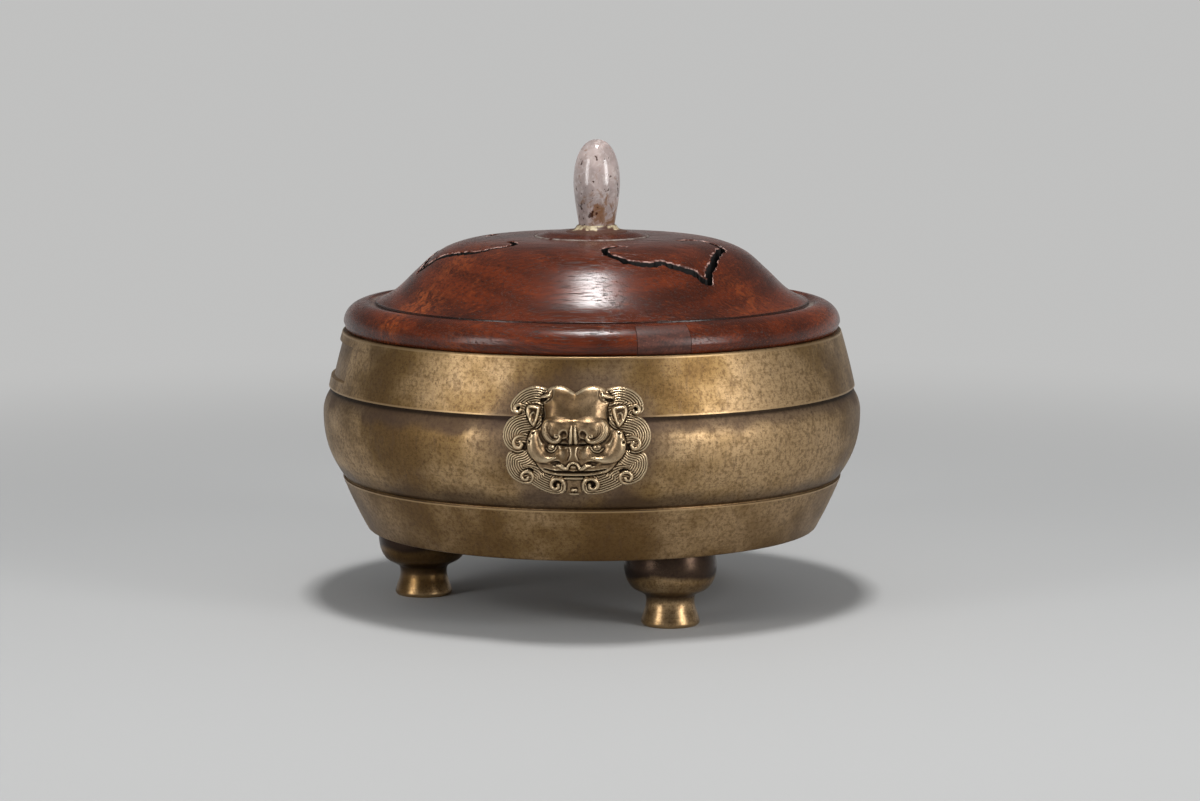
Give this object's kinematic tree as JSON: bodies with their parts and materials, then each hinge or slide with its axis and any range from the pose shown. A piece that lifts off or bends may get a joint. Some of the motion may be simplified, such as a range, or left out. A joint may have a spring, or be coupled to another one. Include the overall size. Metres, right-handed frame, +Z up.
{
  "type": "lidded incense burner",
  "caption": "Round drum-shaped cast bronze incense burner on turned feet, with lion masks on its sides and a pierced wooden lid with a stone knob.",
  "frame": {"origin": "on the surface it stands on, under the middle of the vessel", "axes": "+Z up, -Y the front with the sunk panel, +X and -X the two lion masks"},
  "size_m": [0.1614, 0.1542, 0.1321],
  "materials": {
    "vessel_bronze": "worn satin with brown patina",
    "mask_bronze": "rubbed high points, dark recesses",
    "foot_bronze": "worn satin with brown patina",
    "rosewood": "waxed semi-gloss",
    "patch_wood": "waxed semi-gloss end grain",
    "seat_wood": "waxed semi-gloss",
    "bedding_resin": "dull cream resin",
    "quartz": "polished, milky with rusty inclusions",
    "pin_wood": "plain dowel"
  },
  "bodies": {
    "censer": {"vessel": "vessel_bronze", "mask_right": "mask_bronze", "mask_left": "mask_bronze", "foot_front": "foot_bronze", "foot_rear_right": "foot_bronze", "foot_rear_left": "foot_bronze"},
    "cover": {"lid": "rosewood", "rim_patch": "patch_wood", "knob_seat": "seat_wood", "knob_bedding": "bedding_resin", "knob": "quartz", "knob_pin": "pin_wood"}
  },
  "joints": [
    {"name": "lid_lift", "type": "slide", "parent": "censer", "child": "cover", "axis": [0, 0, 1], "range_m": [0, 0.06]}
  ]
}
